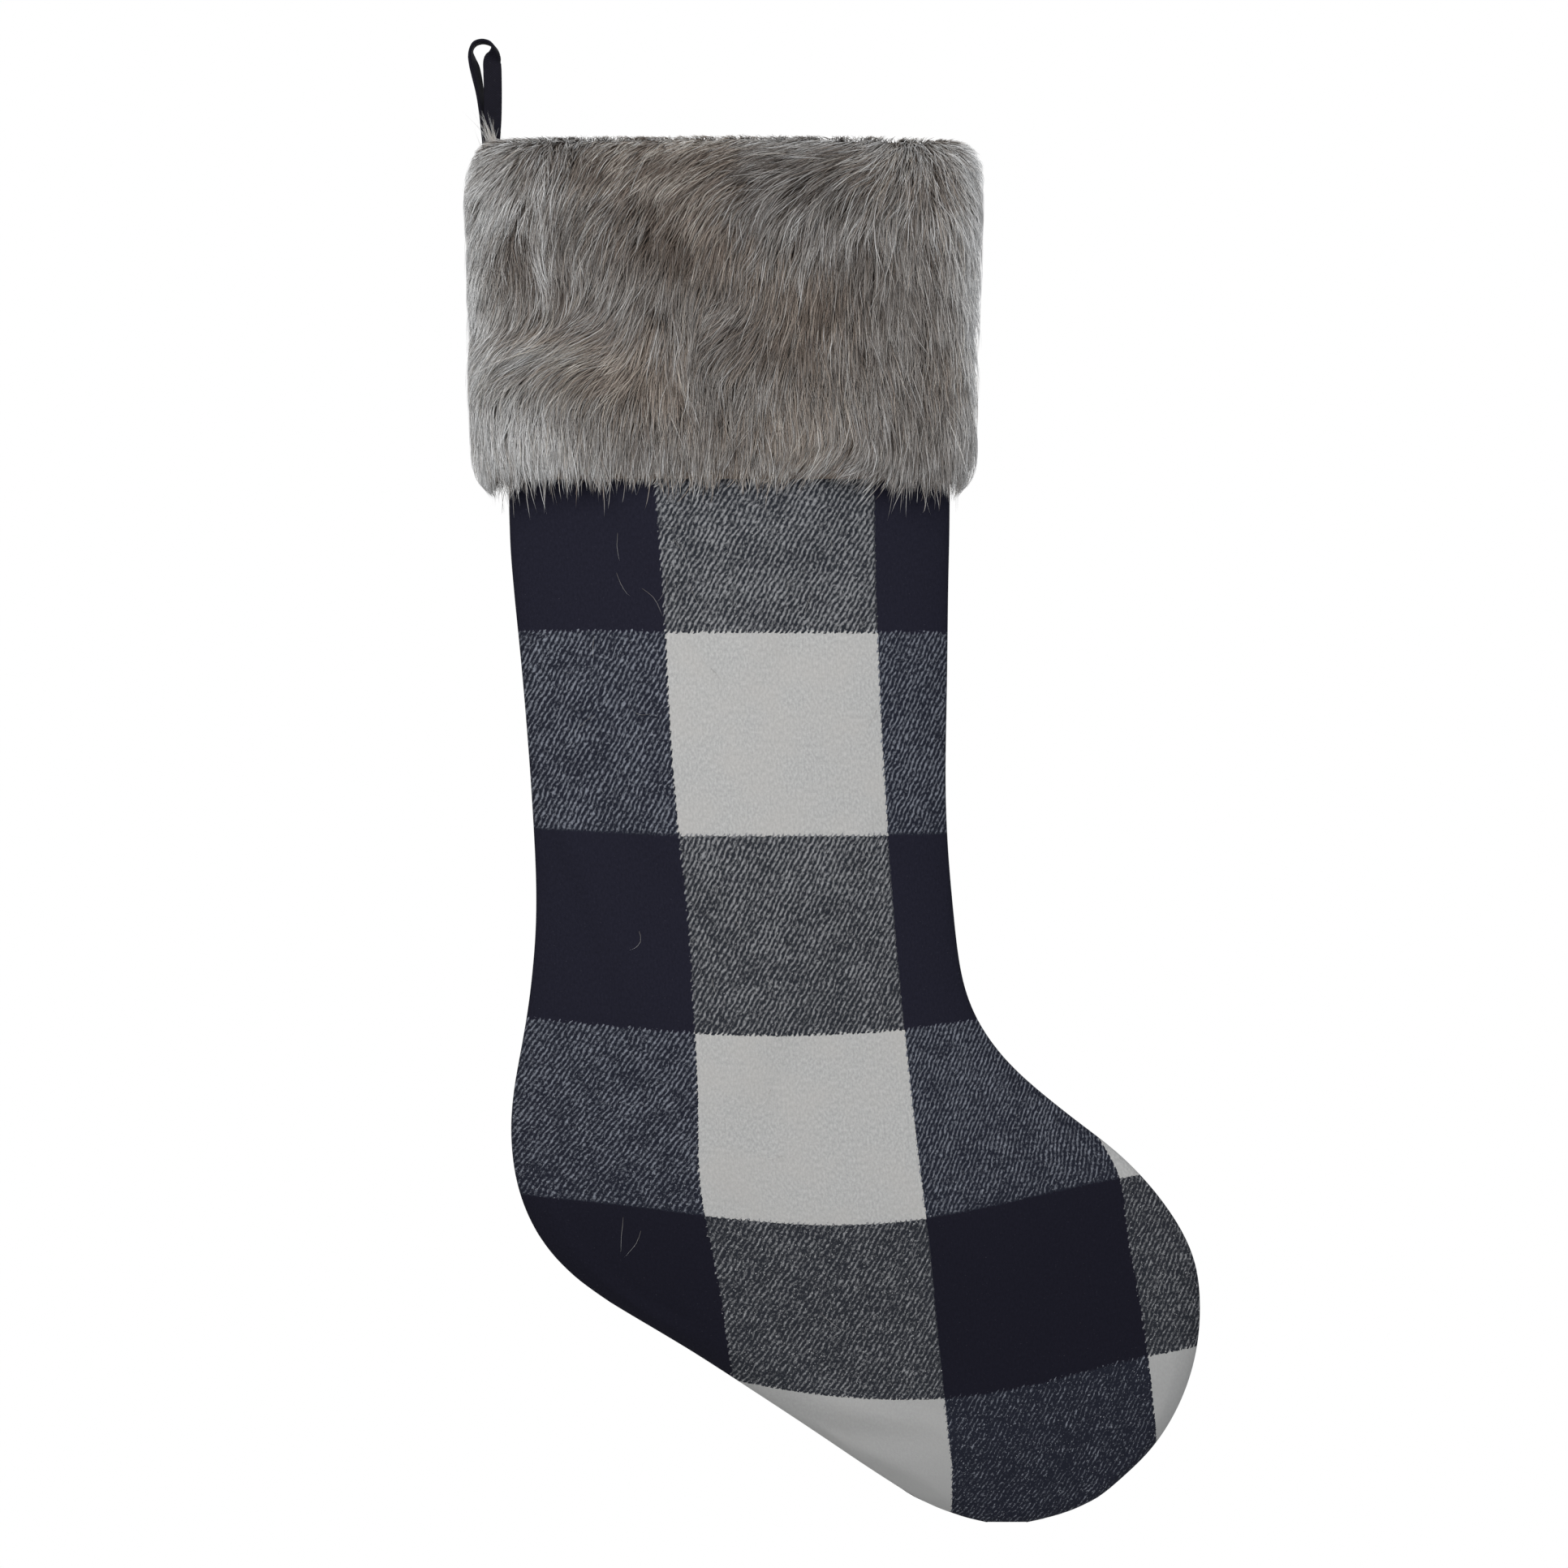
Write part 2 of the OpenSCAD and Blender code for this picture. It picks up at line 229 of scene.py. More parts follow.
class Nodes:
    """A short way to write shader nodes: each call makes one node and returns its output."""

    def __init__(self, owner):
        self.tree = owner.node_tree

    def put(self, socket, value):
        if isinstance(value, bpy.types.NodeSocket):
            self.tree.links.new(value, socket)
        else:
            socket.default_value = value

    def make(self, kind, inputs, output=0, **settings):
        node = self.tree.nodes.new("ShaderNode" + kind)
        for name, value in settings.items():
            setattr(node, name, value)
        for socket, value in inputs.items():
            self.put(node.inputs[socket], value)
        return node.outputs[output]

    def maths(self, operation, *values):
        return self.make("Math", dict(enumerate(values)), operation=operation)

    def plus(self, a, b):
        return self.maths("ADD", a, b)

    def minus(self, a, b):
        return self.maths("SUBTRACT", a, b)

    def times(self, a, b):
        return self.maths("MULTIPLY", a, b)

    def sine(self, value, rate):
        return self.maths("SINE", self.times(value, rate))

    def mix(self, factor, a, b, blend="MIX"):
        return self.make("Mix", {0: factor, 6: a, 7: b}, 2, data_type="RGBA", blend_type=blend)

    def noise(self, vector, scale, detail, roughness=0.5):
        return self.make("TexNoise", {"Vector": vector, "Scale": scale, "Detail": detail,
                                      "Roughness": roughness}, "Fac")

    def about_zero(self, *noise):
        return self.minus(self.noise(*noise), 0.5)

    def ramp(self, factor, stops):
        node = self.tree.nodes.new("ShaderNodeValToRGB")
        elements = node.color_ramp.elements
        while len(elements) < len(stops):
            elements.new(0.5)
        for element, (at, colour) in zip(elements, stops):
            element.position = at
            element.color = (*colour, 1)
        self.put(node.inputs[0], factor)
        return node.outputs[0]

    def span(self, value, low, high, to_low=0.0, to_high=1.0):
        """A smooth step from one number to another while the value goes from low to high."""
        ends = dict(enumerate((value, low, high, to_low, to_high)))
        return self.make("MapRange", ends, interpolation_type="SMOOTHSTEP")

    def uv(self, name):
        return self.make("UVMap", {}, uv_map=name)

    def position(self):
        return self.make("TexCoord", {}, "Object")

    def split(self, vector):
        node = self.tree.nodes.new("ShaderNodeSeparateXYZ")
        self.put(node.inputs[0], vector)
        return node.outputs

    def join(self, x, y, z=0.0):
        return self.make("CombineXYZ", {0: x, 1: y, 2: z})

    def bump(self, height, distance, strength):
        return self.make("Bump", {"Height": height, "Distance": distance, "Strength": strength})


def linear(r, g, b):
    """A display colour, 0 to 255, as the linear numbers that the nodes take."""
    return tuple(((c / 255 + 0.055) / 1.055) ** 2.4 if c > 10 else c / 255 / 12.92 for c in (r, g, b))


def paint(r, g, b):
    """The same with its alpha, as a colour socket takes it."""
    return (*linear(r, g, b), 1)


CHECK_MM = 75.4      # side of one check on the flat cloth
STROKE_MM = 2.4      # length of one yarn float as it shows on the face
PITCH_MM = 1.68      # between neighbouring twill lines, square to them
BEAD_MM = 2.1        # between neighbouring interlacings along a twill line
TWILL_ANGLE = math.radians(60)
WANDER_MM = 2.2      # how far a twill line strays from straight
EDGE_TEETH = 0.020   # how far the edge of a check strays, in checks
LEG_TO_FOOT = (1.4, 3.4)     # the check rows between which the leg's texture becomes the foot's


def plaid_material():
    """Brushed buffalo check. Its map is in checks: columns across and rows down."""
    material, shader = new_material("plaid_wool", linear(90, 90, 96), 0.95, specular=0.06)
    n = Nodes(material)
    u, v, _ = n.split(n.uv("cloth"))
    x = n.times(u, CHECK_MM)
    y = n.times(v, -CHECK_MM)
    flat = n.join(x, y)

    # twill lines that wander a little
    c, s = math.cos(TWILL_ANGLE), math.sin(TWILL_ANGLE)
    along = n.plus(n.times(x, c), n.times(y, s))
    across = n.minus(n.times(y, c), n.times(x, s))
    line = n.plus(across, n.times(n.about_zero(flat, 0.16, 2), WANDER_MM))
    rib = n.sine(line, 2 * math.pi / PITCH_MM)
    bead = n.sine(n.plus(along, n.times(line, 0.35)), 2 * math.pi / BEAD_MM)

    def drawn_out(square, lengthways, detail):
        """Noise stretched along the twill lines, at a rate per mm square to them and one along them."""
        stretched = n.join(n.times(line, square), n.times(along, lengthways))
        return n.about_zero(stretched, 1.0, detail, 0.6)

    def by_row(leg, foot):
        return n.span(v, *LEG_TO_FOOT, leg, foot)

    # the yarn on the face: ribs broken into floats, then strokes, hairs, beads, grain and patches
    yarn = n.times(rib, by_row(0.34, 0.28))
    for layer, amount in ((drawn_out(1.15, 1 / STROKE_MM, 1), by_row(1.6, 1.1)),
                          (drawn_out(1.0, 0.3, 1), by_row(0.0, 1.2)),
                          (drawn_out(2.3, 1.0, 2), by_row(1.5, 1.6)),
                          (bead, 0.06),
                          (n.about_zero(flat, 2.2, 1), by_row(0.6, 0.7)),
                          (n.about_zero(flat, 0.09, 2), 0.5)):
        yarn = n.plus(yarn, n.times(layer, amount))
    # painted shade: fewer pale floats towards the foot, so the grey and navy cells darken towards the
    # bottom
    over = n.span(n.minus(yarn, n.span(v, 0.4, 3.2, 0.0, 0.18)), -0.30, 0.72)
    under = n.span(n.minus(yarn, n.span(v, 2.2, 4.4, 0.0, 0.26)), -0.16, 0.76)
    speck = n.times(n.span(drawn_out(2.0, 1.0, 1), 0.17, 0.26), by_row(1.0, 1.5))

    # which cells are white, with teeth along the edges the length of a part of one float
    tooth = n.times(n.minus(over, 0.5), EDGE_TEETH)
    ragged = n.times(n.about_zero(flat, 0.9, 3), EDGE_TEETH)
    edge = n.plus(tooth, ragged)
    column = n.maths("FRACT", n.times(n.plus(u, n.times(edge, 0.6)), 0.5))
    row = n.maths("FRACT", n.times(n.plus(v, edge), 0.5))
    white_column = n.maths("GREATER_THAN", column, 0.5)
    white_row = n.maths("LESS_THAN", row, 0.5)

    tone = n.noise(flat, 0.05, 3)
    nap = n.noise(n.join(x, n.times(y, 0.5)), 1.3, 4, 0.7)
    lint = n.span(n.noise(n.join(n.times(x, 0.6), y), 2.2, 1), 0.72, 0.8)
    white = n.mix(n.span(nap, 0.3, 0.75), paint(160, 160, 160), paint(190, 190, 189))
    white = n.mix(n.span(tone, 0.35, 0.7, 0.0, 0.4), white, paint(180, 177, 174))
    # painted shade: the white cells darken towards the foot
    white = n.mix(n.span(v, 2.5, 5.0), white, paint(156, 156, 156))
    black = n.mix(nap, paint(20, 20, 29), paint(40, 40, 53))
    # painted shade: the black cells darken towards the foot
    black = n.mix(n.span(v, 1.5, 3.5, 0.0, 0.45), black, paint(14, 13, 21))
    black = n.mix(n.times(lint, 0.18), black, paint(120, 120, 130))
    grey = n.mix(over, paint(40, 42, 48), paint(140, 141, 144))
    grey = n.mix(n.times(speck, 0.55), grey, paint(205, 206, 208))
    navy = n.mix(under, paint(32, 34, 44), paint(124, 128, 138))
    navy = n.mix(n.times(speck, 0.45), navy, paint(178, 182, 190))
    in_black_row = n.mix(white_column, black, grey)
    in_white_row = n.mix(white_column, navy, white)
    n.put(shader.inputs["Base Color"], n.mix(white_row, in_black_row, in_white_row))

    # the yarn stands up only in the grey and navy cells, where one of the two sets is white
    fuzz = n.noise(n.position(), 1400, 3, 0.7)
    plain = n.maths("ABSOLUTE", n.minus(n.plus(white_column, white_row), 1))
    relief = n.times(over, n.minus(1.0, plain))
    height = n.plus(n.times(relief, 0.4), n.times(fuzz, 0.6))
    n.put(shader.inputs["Normal"], n.bump(height, 0.0003, 0.4))
    return material


# display colours of the fur's hairs, from dark to pale
COOL_HAIRS = [(72, 67, 64), (126, 119, 115), (170, 166, 163), (211, 211, 211), (246, 248, 250)]
WARM_HAIRS = [(78, 68, 61), (132, 119, 110), (176, 164, 154), (214, 208, 200), (246, 244, 240)]


def fur_material():
    """Fur fibres, on the map that swept_strands lays out."""
    material, shader = new_material("fur_fibre", linear(120, 115, 110), 0.5, specular=0.3)
    n = Nodes(material)
    u, v, _ = n.split(n.uv("OFBake"))
    tone = n.maths("FRACT", n.times(u, 2))
    cool, warm = (n.ramp(tone, [(k / 4, linear(*c)) for k, c in enumerate(hairs)])
                  for hairs in (COOL_HAIRS, WARM_HAIRS))
    body = n.mix(n.maths("GREATER_THAN", u, 0.495), cool, warm)
    # dark roots and pale tips along each hair: partly the fibres' own tipped colour, partly painted
    # shade deep in the pile
    shade = n.ramp(v, [(0.0, (0.17, 0.155, 0.145)), (0.3, (0.50, 0.475, 0.455)),
                       (0.65, (0.96, 0.95, 0.94)), (1.0, (1.16, 1.17, 1.18))])
    streak = n.noise(n.join(n.times(u, 60), n.times(v, 3)), 1.0, 2)
    colour = n.mix(1.0, body, shade, "MULTIPLY")
    colour = n.mix(n.times(streak, 0.15), colour, paint(150, 139, 128))
    n.put(shader.inputs["Base Color"], colour)
    return material


def knit_material(name, low, high, rate):
    """A plain knitted or woven cloth with a fine thread pattern, in the piece's own coordinates."""
    material, shader = new_material(name, low, 0.85)
    n = Nodes(material)
    x, y, z = n.split(n.position())
    weave = n.span(n.times(n.sine(n.plus(x, y), rate), n.sine(z, rate)), -1, 1)
    worn = n.noise(n.position(), 90, 3)
    colour = n.mix(n.times(n.plus(weave, worn), 0.5), (*low, 1), (*high, 1))
    n.put(shader.inputs["Base Color"], colour)
    n.put(shader.inputs["Normal"], n.bump(weave, 0.0002, 0.5))
    shader.inputs["Sheen Weight"].default_value = 0.1
    return material


def strip_material():
    """The loop's near-black cloth: a tight ribbed weave with a little navy and grey lint."""
    material, shader = new_material("loop_cloth", linear(24, 24, 32), 0.8, specular=0.08)
    n = Nodes(material)
    u, v, _ = n.split(n.uv("strip"))
    weave = n.span(n.sine(n.plus(u, n.times(v, 0.6)), 9.5), -1, 1)
    lint = n.span(n.noise(n.position(), 2600, 2), 0.66, 0.8)
    nap = n.noise(n.position(), 500, 3)
    both = n.plus(weave, nap)
    colour = n.mix(n.times(both, 0.5), paint(13, 12, 18), paint(31, 30, 40))
    colour = n.mix(n.times(lint, 0.25), colour, paint(120, 120, 128))
    n.put(shader.inputs["Base Color"], colour)
    n.put(shader.inputs["Normal"], n.bump(both, 0.0002, 0.4))
    return material


def thread_material(name, dark, light):
    """Spun thread with a fine twist."""
    material, shader = new_material(name, dark, 0.6)
    n = Nodes(material)
    x, y, z = n.split(n.position())
    ply = n.sine(n.plus(n.plus(x, y), z), 9000)
    colour = n.mix(n.span(ply, -1, 1), (*dark, 1), (*light, 1))
    n.put(shader.inputs["Base Color"], colour)
    n.put(shader.inputs["Normal"], n.bump(ply, 0.0001, 0.4))
    return material


# ---------------- cloth panels

CLOTH_ROWS, CLOTH_COLUMNS = 230, 84
CLOTH_T = 1.3 * MM
OUTLINE_ROWS = 900               # fine rows on which a panel's outline is found
OFF_SEAM_MM = (0.3, 0.6, 1.0, 1.6)     # how far off the seam's plane it is looked for
EDGE_DEPTH = 0.3 * MM            # a panel's least depth, so that front and back stay apart
COARSE_ACROSS, COARSE_DOWN = 24, 72    # points of the copy that is simulated
CLOTH_FRAMES = 24
MOST_INWARD = 1.2 * MM
MOST_OUTWARD = 2 * MM
BACK_SHIFT = (0.42, 1.22)        # the back's check against the front's, in checks


def checks_at(x, z, mouth_left, mouth_z):
    """Where a point of the front lies on the flat cloth, in checks across and rows down.

    The columns drift towards the toe on the way down. The rows sag across the foot, and the
    checks close up where the cloth turns away, at the instep and under the toe."""
    across = (x - mouth_left) / MM
    down = (mouth_z - z) / MM
    fall = np.clip((down - 124) / 340, 0, 1.05)
    gap = across - (136.2 + 29 * fall ** 1.8 - 3.5 * clip01((down - 400) / 80))
    heel_side = 77.7 - 0.7 * fall + 3 * bell(down, 110, 35) + 4 * bell(down, 380, 32)
    heel_side = heel_side - 1.8 * bell(down, 280, 38)
    toe_side = 76.5 - 10 * bell(np.maximum(down, 354), 354, 16) - 3 * bell(down, 395, 25)
    u = 2 + gap / np.where(gap < 0, heel_side, toe_side)
    t = np.clip((down - 175) / 283, 0, 1.1)
    ease = clip01((t - 0.2) / 0.7)
    off = across - (86 + 60 * t ** 2)
    sag = 0.0022 * ease ** 2 * (3 - 2 * ease) * off ** 2
    sag = np.where(off < 0, sag / (1 + (off / 100) ** 2), sag)
    level = down - 175 + 20 * np.tanh(sag / 20) + 1.1 * bell(down, 245, 90)
    level = level + 2.7 * clip01(1 - across / 58) * bell(down, 262, 75)
    v = level / 75.2 + 0.28 * np.clip(level / 283, 0, 1.2) ** 2.9
    return u, v


def panel_grid(node, rows, columns, side):
    """The outer surface of a CAD panel as a smooth grid, from the mouth down, heel side first."""
    low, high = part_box(node)
    tree = tree_of(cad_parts[node].data)
    # the outline, found on fine rows, then rows spaced evenly along it
    spans = []
    seams = [side * y * MM for y in OFF_SEAM_MM]
    for z in np.linspace(high.z - 0.05 * MM, low.z + 0.02 * MM, OUTLINE_ROWS):
        first = [tree.ray_cast(Vector((low.x - 0.1, y, z)), Vector((1, 0, 0)))[0] for y in seams]
        last = [tree.ray_cast(Vector((high.x + 0.1, y, z)), Vector((-1, 0, 0)))[0] for y in seams]
        first = [p.x for p in first if p is not None]
        last = [p.x for p in last if p is not None]
        if first and max(last) - min(first) > 0.2 * MM:
            spans.append((z, min(first), max(last)))
    spans = np.array(spans)
    steps = np.abs(np.diff(spans, axis=0)) * (1, 0.5, 0.5)
    run = np.concatenate([[0], np.cumsum(np.linalg.norm(steps, axis=1))])
    at = np.linspace(0, run[-1], rows)
    z, left, right = (np.interp(at, run, spans[:, k]) for k in range(3))

    phi = np.linspace(0, math.pi, columns)
    s = (1 - np.cos(phi)) / 2
    x = left[:, None] + (right - left)[:, None] * s
    depth = np.zeros((rows, columns))
    for i in range(rows):
        for j in range(1, columns - 1):
            hit = tree.ray_cast(Vector((x[i, j], side * 0.2, z[i])), Vector((0, -side, 0)))[0]
            depth[i, j] = abs(hit.y) if hit is not None else 0
    waves = np.stack([np.sin(k * phi) for k in range(1, 8)], 1)
    shares = np.linalg.lstsq(waves, depth.T, rcond=None)[0].T
    depth = np.maximum(smoothed(shares, 7) @ waves.T, EDGE_DEPTH)
    depth[-1] = EDGE_DEPTH      # front and back close at the lowest row, under the toe
    edges = smoothed(np.stack([left, right], 1), max(2, rows // 46))
    x = edges[:, :1] + (edges[:, 1:] - edges[:, :1]) * s
    return x, depth, np.repeat(z[:, None], columns, 1)


def soften(x, depth, z, side, strength):
    """Soft dents in the cloth: small puckers off the side seams and broad slack across the leg."""
    edge = np.minimum(x - x[:, :1], x[:, -1:] - x)
    near = np.exp(-edge / (9 * MM))
    off_seam = 1 - np.exp(-edge / (2.5 * MM))
    pucker = value_noise(z / (7 * MM) + 40, edge / (30 * MM) + 3 * side, 5 + side)
    slack = value_noise(x / (55 * MM) + 9 * side, z / (80 * MM) + 20, 11 + side)
    slack += 0.5 * value_noise(x / (26 * MM), z / (45 * MM) + 9 * side, 17 + side)
    return depth + off_seam * (0.5 * MM * near * pucker + strength * (1 - near) * slack)


def let_go(x, depth, z, side):
    """How far the cloth moves out of its panel when it hangs free between its sewn edges, in metres.

    A coarse copy is simulated as cloth 1.5% larger than the panel, held at the seams and the mouth."""
    rows, columns = depth.shape
    across, down = COARSE_ACROSS, COARSE_DOWN
    s = np.linspace(0, 1, across)
    fine = (1 - np.cos(np.linspace(0, math.pi, columns))) / 2
    picked = np.linspace(0, rows - 1, down).round().astype(int)
    left, right = x[picked, :1], x[picked, -1:]
    start = np.stack([np.interp(s, fine, depth[i]) for i in picked])
    points = np.stack([left + (right - left) * s, side * start,
                       np.repeat(z[picked, :1], across, 1)], -1).reshape(-1, 3)
    piece = make_mesh("cloth_at_work", points, grid_quads(down, across, flip=side < 0))
    index = np.arange(down * across).reshape(down, across)
    sewn = np.concatenate([index[0], index[-1], index[:, 0], index[:, -1]])
    piece.vertex_groups.new(name="sewn").add([int(k) for k in np.unique(sewn)], 1.0, "REPLACE")
    settings = piece.modifiers.new("cloth", "CLOTH").settings
    settings.quality = 6
    settings.mass = 0.2
    settings.tension_stiffness = settings.compression_stiffness = 20
    settings.shear_stiffness = 12
    settings.bending_stiffness = 3
    settings.shrink_min = -0.015
    settings.use_pressure = True
    settings.uniform_pressure_force = 0.4
    settings.vertex_group_mass = "sewn"
    scene = bpy.context.scene
    for step in range(CLOTH_FRAMES):
        scene.frame_set(step + 1)
    graph = bpy.context.evaluated_depsgraph_get()
    ended = piece.evaluated_get(graph).data
    y = np.array([side * v.co.y for v in ended.vertices]).reshape(down, across)
    bpy.data.objects.remove(piece)
    scene.frame_set(1)
    moved = np.clip(y - start, -MOST_INWARD, None)
    moved = MOST_OUTWARD * np.tanh(moved / MOST_OUTWARD)
    rows_at = np.linspace(0, down - 1, rows)
    above = np.floor(rows_at).astype(int)
    below = np.minimum(above + 1, down - 1)
    part = (rows_at - above)[:, None]
    moved = moved[above] * (1 - part) + moved[below] * part
    return smoothed(np.stack([np.interp(fine, s, line) for line in moved]), 3)


def cloth_piece(name, node, side, material, thick, cloth=None, shape=(CLOTH_ROWS, CLOTH_COLUMNS),
                slack=0.5 * MM, simulated=False):
    """A sewn panel as a closed sheet in the place of its CAD solid."""
    rows, columns = shape
    x, depth, z = panel_grid(node, rows, columns, side)
    cad_depth = depth
    depth = soften(x, depth, z, side, slack)
    if simulated:
        depth = depth + let_go(x, depth, z, side)
        depth = np.maximum(depth, np.maximum(cad_depth - 0.5 * MM, EDGE_DEPTH))
    else:
        depth = np.minimum(depth, cad_depth)
    points = np.stack([x, side * depth, z], -1).reshape(-1, 3)
    uv = None
    if cloth is not None:
        u, v = cloth(x, z)
        uv = np.stack([u, v], -1).reshape(-1, 2)
    obj = make_mesh(name, points, grid_quads(rows, columns, flip=side < 0), material=material, uv=uv)
    solid = obj.modifiers.new("thickness", "SOLIDIFY")
    solid.thickness, solid.offset = thick, -1
    solid.use_even_offset = False
    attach(obj, "stocking")
    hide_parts(node)
    return obj


def make_cloth():
    """The two plaid panels and the two linings."""
    plaid = plaid_material()
    low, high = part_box("outer_front")

    def front(x, z):
        return checks_at(x, z, leg_left, high.z)

    def back(x, z):
        u, v = checks_at(x, z, leg_left, high.z)
        return u + BACK_SHIFT[0], v + BACK_SHIFT[1]

    leg_left = panel_grid("outer_front", 12, 5, -1)[0][0, 0]
    for name, node, side, cloth in (("plaid_front", "outer_front", -1, front),
                                    ("plaid_back", "outer_back", 1, back)):
        obj = cloth_piece(name, node, side, plaid, CLOTH_T, cloth, simulated=True)
    plain = knit_material("lining_cotton", linear(205, 200, 190), linear(226, 222, 214), 7000)
    for name, node, side in (("lining_front_cloth", "lining_front", -1),
                             ("lining_back_cloth", "lining_back", 1)):
        obj = cloth_piece(name, node, side, plain, 0.7 * MM, shape=(120, 40), slack=0.3 * MM)


# ---------------- fur cuff

PILE = 5.5 * MM            # from the knitted backing to the outside of the fur
CUFF_POWER = 2.7           # bluntness of the cuff seen from above
CORNER = 12 * MM
LOW_CORNER = 14 * MM
CUFF_TAPER = 3 * MM
ROLL = 4 * MM              # radius of the fold at the top edge
FOLD_TURN = 1.9            # how far the fold turns over, in radians
TOP_ROUNDING, LOW_ROUNDING = 0.7, 0.55     # how fully the band follows the two corners
HEM_IN = 3.4 * MM          # how far the fold's edge reaches in to the tape at the two ends

STRAND_RINGS = 6
STRAND_SIDES = 3
STRAND_TAPER = 0.85        # share of its radius that a hair loses towards its tip
FRONT_SECTORS, BACK_SECTORS = 7, 4
LOCKS, HAIRS_PER_LOCK = 500, 14        # in each sector
LOCK_SPREAD = 2.0 * MM     # how far apart the roots of one lock stand
FOLD_SHARE = 0.13          # extra locks on the fold
GUARD_SHARE = 0.05         # hairs that are longer and paler and keep to themselves
LOOSE_SHARE = 0.22         # hairs that are hardly drawn into their lock
CURL = 0.065               # how far a hair strays from the way it is combed
DROOP = 0.12               # and how far its tip sinks
HAIR_LENGTH_MM = (15, 27)
HAIR_RADIUS_MM = (0.08, 0.18)
SIDE_GIVE, FACE_GIVE, TOP_GIVE = 0.16, 0.4, 0.2    # share of an overshoot that the trim leaves
COMB_REACH = (0.036, 0.050)            # how far a comb mark works, across and down

# How the fur is combed on the front: per cent across from the heel side, per cent down from the
# top, and degrees from straight down, towards the toe side if positive.
COMB = [
    (2, 5, -50), (6, 12, -45), (10, 7, -32), (4, 25, -18), (10, 22, -12), (2, 45, -5), (15, 15, -3),
    (17, 5, 4), (20, 10, -12), (26, 12, -42), (32, 10, -46), (38, 8, -52), (45, 10, -62),
    (27, 25, -28), (36, 25, -24), (45, 22, -34), (7, 33, -16), (10, 32, 8), (12.5, 38, 34),
    (10, 46, 6), (16, 36, -2), (16, 48, -4), (30, 40, -14), (40, 40, -12), (50, 36, -12),
    (52, 6, -74), (60, 7, -82), (68, 6, -82), (76, 7, -74), (82, 6, -48), (55, 15, -52),
    (65, 16, -44), (75, 16, -36), (82, 17, -16), (88, 8, -4), (93, 12, 16), (97, 16, 24),
    (97, 5, 42), (55, 27, -15), (70, 27, -11), (85, 28, -4), (96, 30, 5), (60, 45, -8),
    (75, 45, -5), (90, 45, 2), (97, 50, 5), (60, 65, -8), (75, 65, 4), (90, 65, 4), (97, 70, -4),
    (33, 52, -40), (37, 56, -8), (42, 57, 34), (46, 61, -62), (50, 57, -56), (55, 56, -34),
    (45, 67, 16), (40, 68, 3), (33, 62, -26), (9, 57, -42), (17, 57, -50), (23, 60, -74),
    (18, 63, -88), (10, 64, -80), (4, 66, -30), (27, 66, -62), (22, 71, -26), (14, 71, -22),
    (5, 80, 2), (10, 78, 0), (15, 82, 4), (20, 86, 4), (2, 90, 20), (5, 97, 20), (11, 96, 6),
    (30, 80, -6), (40, 80, 2), (50, 80, -6), (40, 96, -4), (55, 96, -8), (65, 80, 2), (70, 98, -42),
    (77, 98, -52), (84, 96, -12), (90, 97, 14), (80, 82, 6), (90, 82, 4), (97, 85, -6),
    (98, 96, -14),
]

# Paler and darker areas of the front, all in per cent: across, down, reach across, reach down, tone.
# Most are the fur's own tone. The pale strips down the two side edges and along the top are painted
# light, and the darker spots are partly darker fur and partly painted shade in dips and partings.
TONES = [
    (0, 35, 5.5, 50, 54), (10, 84, 12, 13, 46), (16, 63, 14, 3.5, 24), (9, 37, 4, 8.5, -14),
    (15.2, 36, 1.2, 13, 24), (9, 24.5, 6, 3, 20), (70, 10, 18, 5.5, -6), (32, 30, 9, 9, -6),
    (72, 45, 10, 9, -16), (58, 62, 8, 7, -12), (40, 34, 5, 7, -14), (60, 24, 25, 5, 6),
    (100, 45, 5, 60, 52), (50, 0, 70, 3.5, 34), (45, 95, 50, 4.5, 14), (12, 97, 10, 5, 12),
    (13, 10, 3, 5, -14), (27, 40, 10, 10, 5), (85, 5, 16, 5, 10), (7, 19, 6, 8, 14),
    (15.5, 18, 2, 12, 14), (21, 10, 3, 4, -14), (38.5, 21, 3, 4, -16), (40, 42, 20, 22, -8),
]


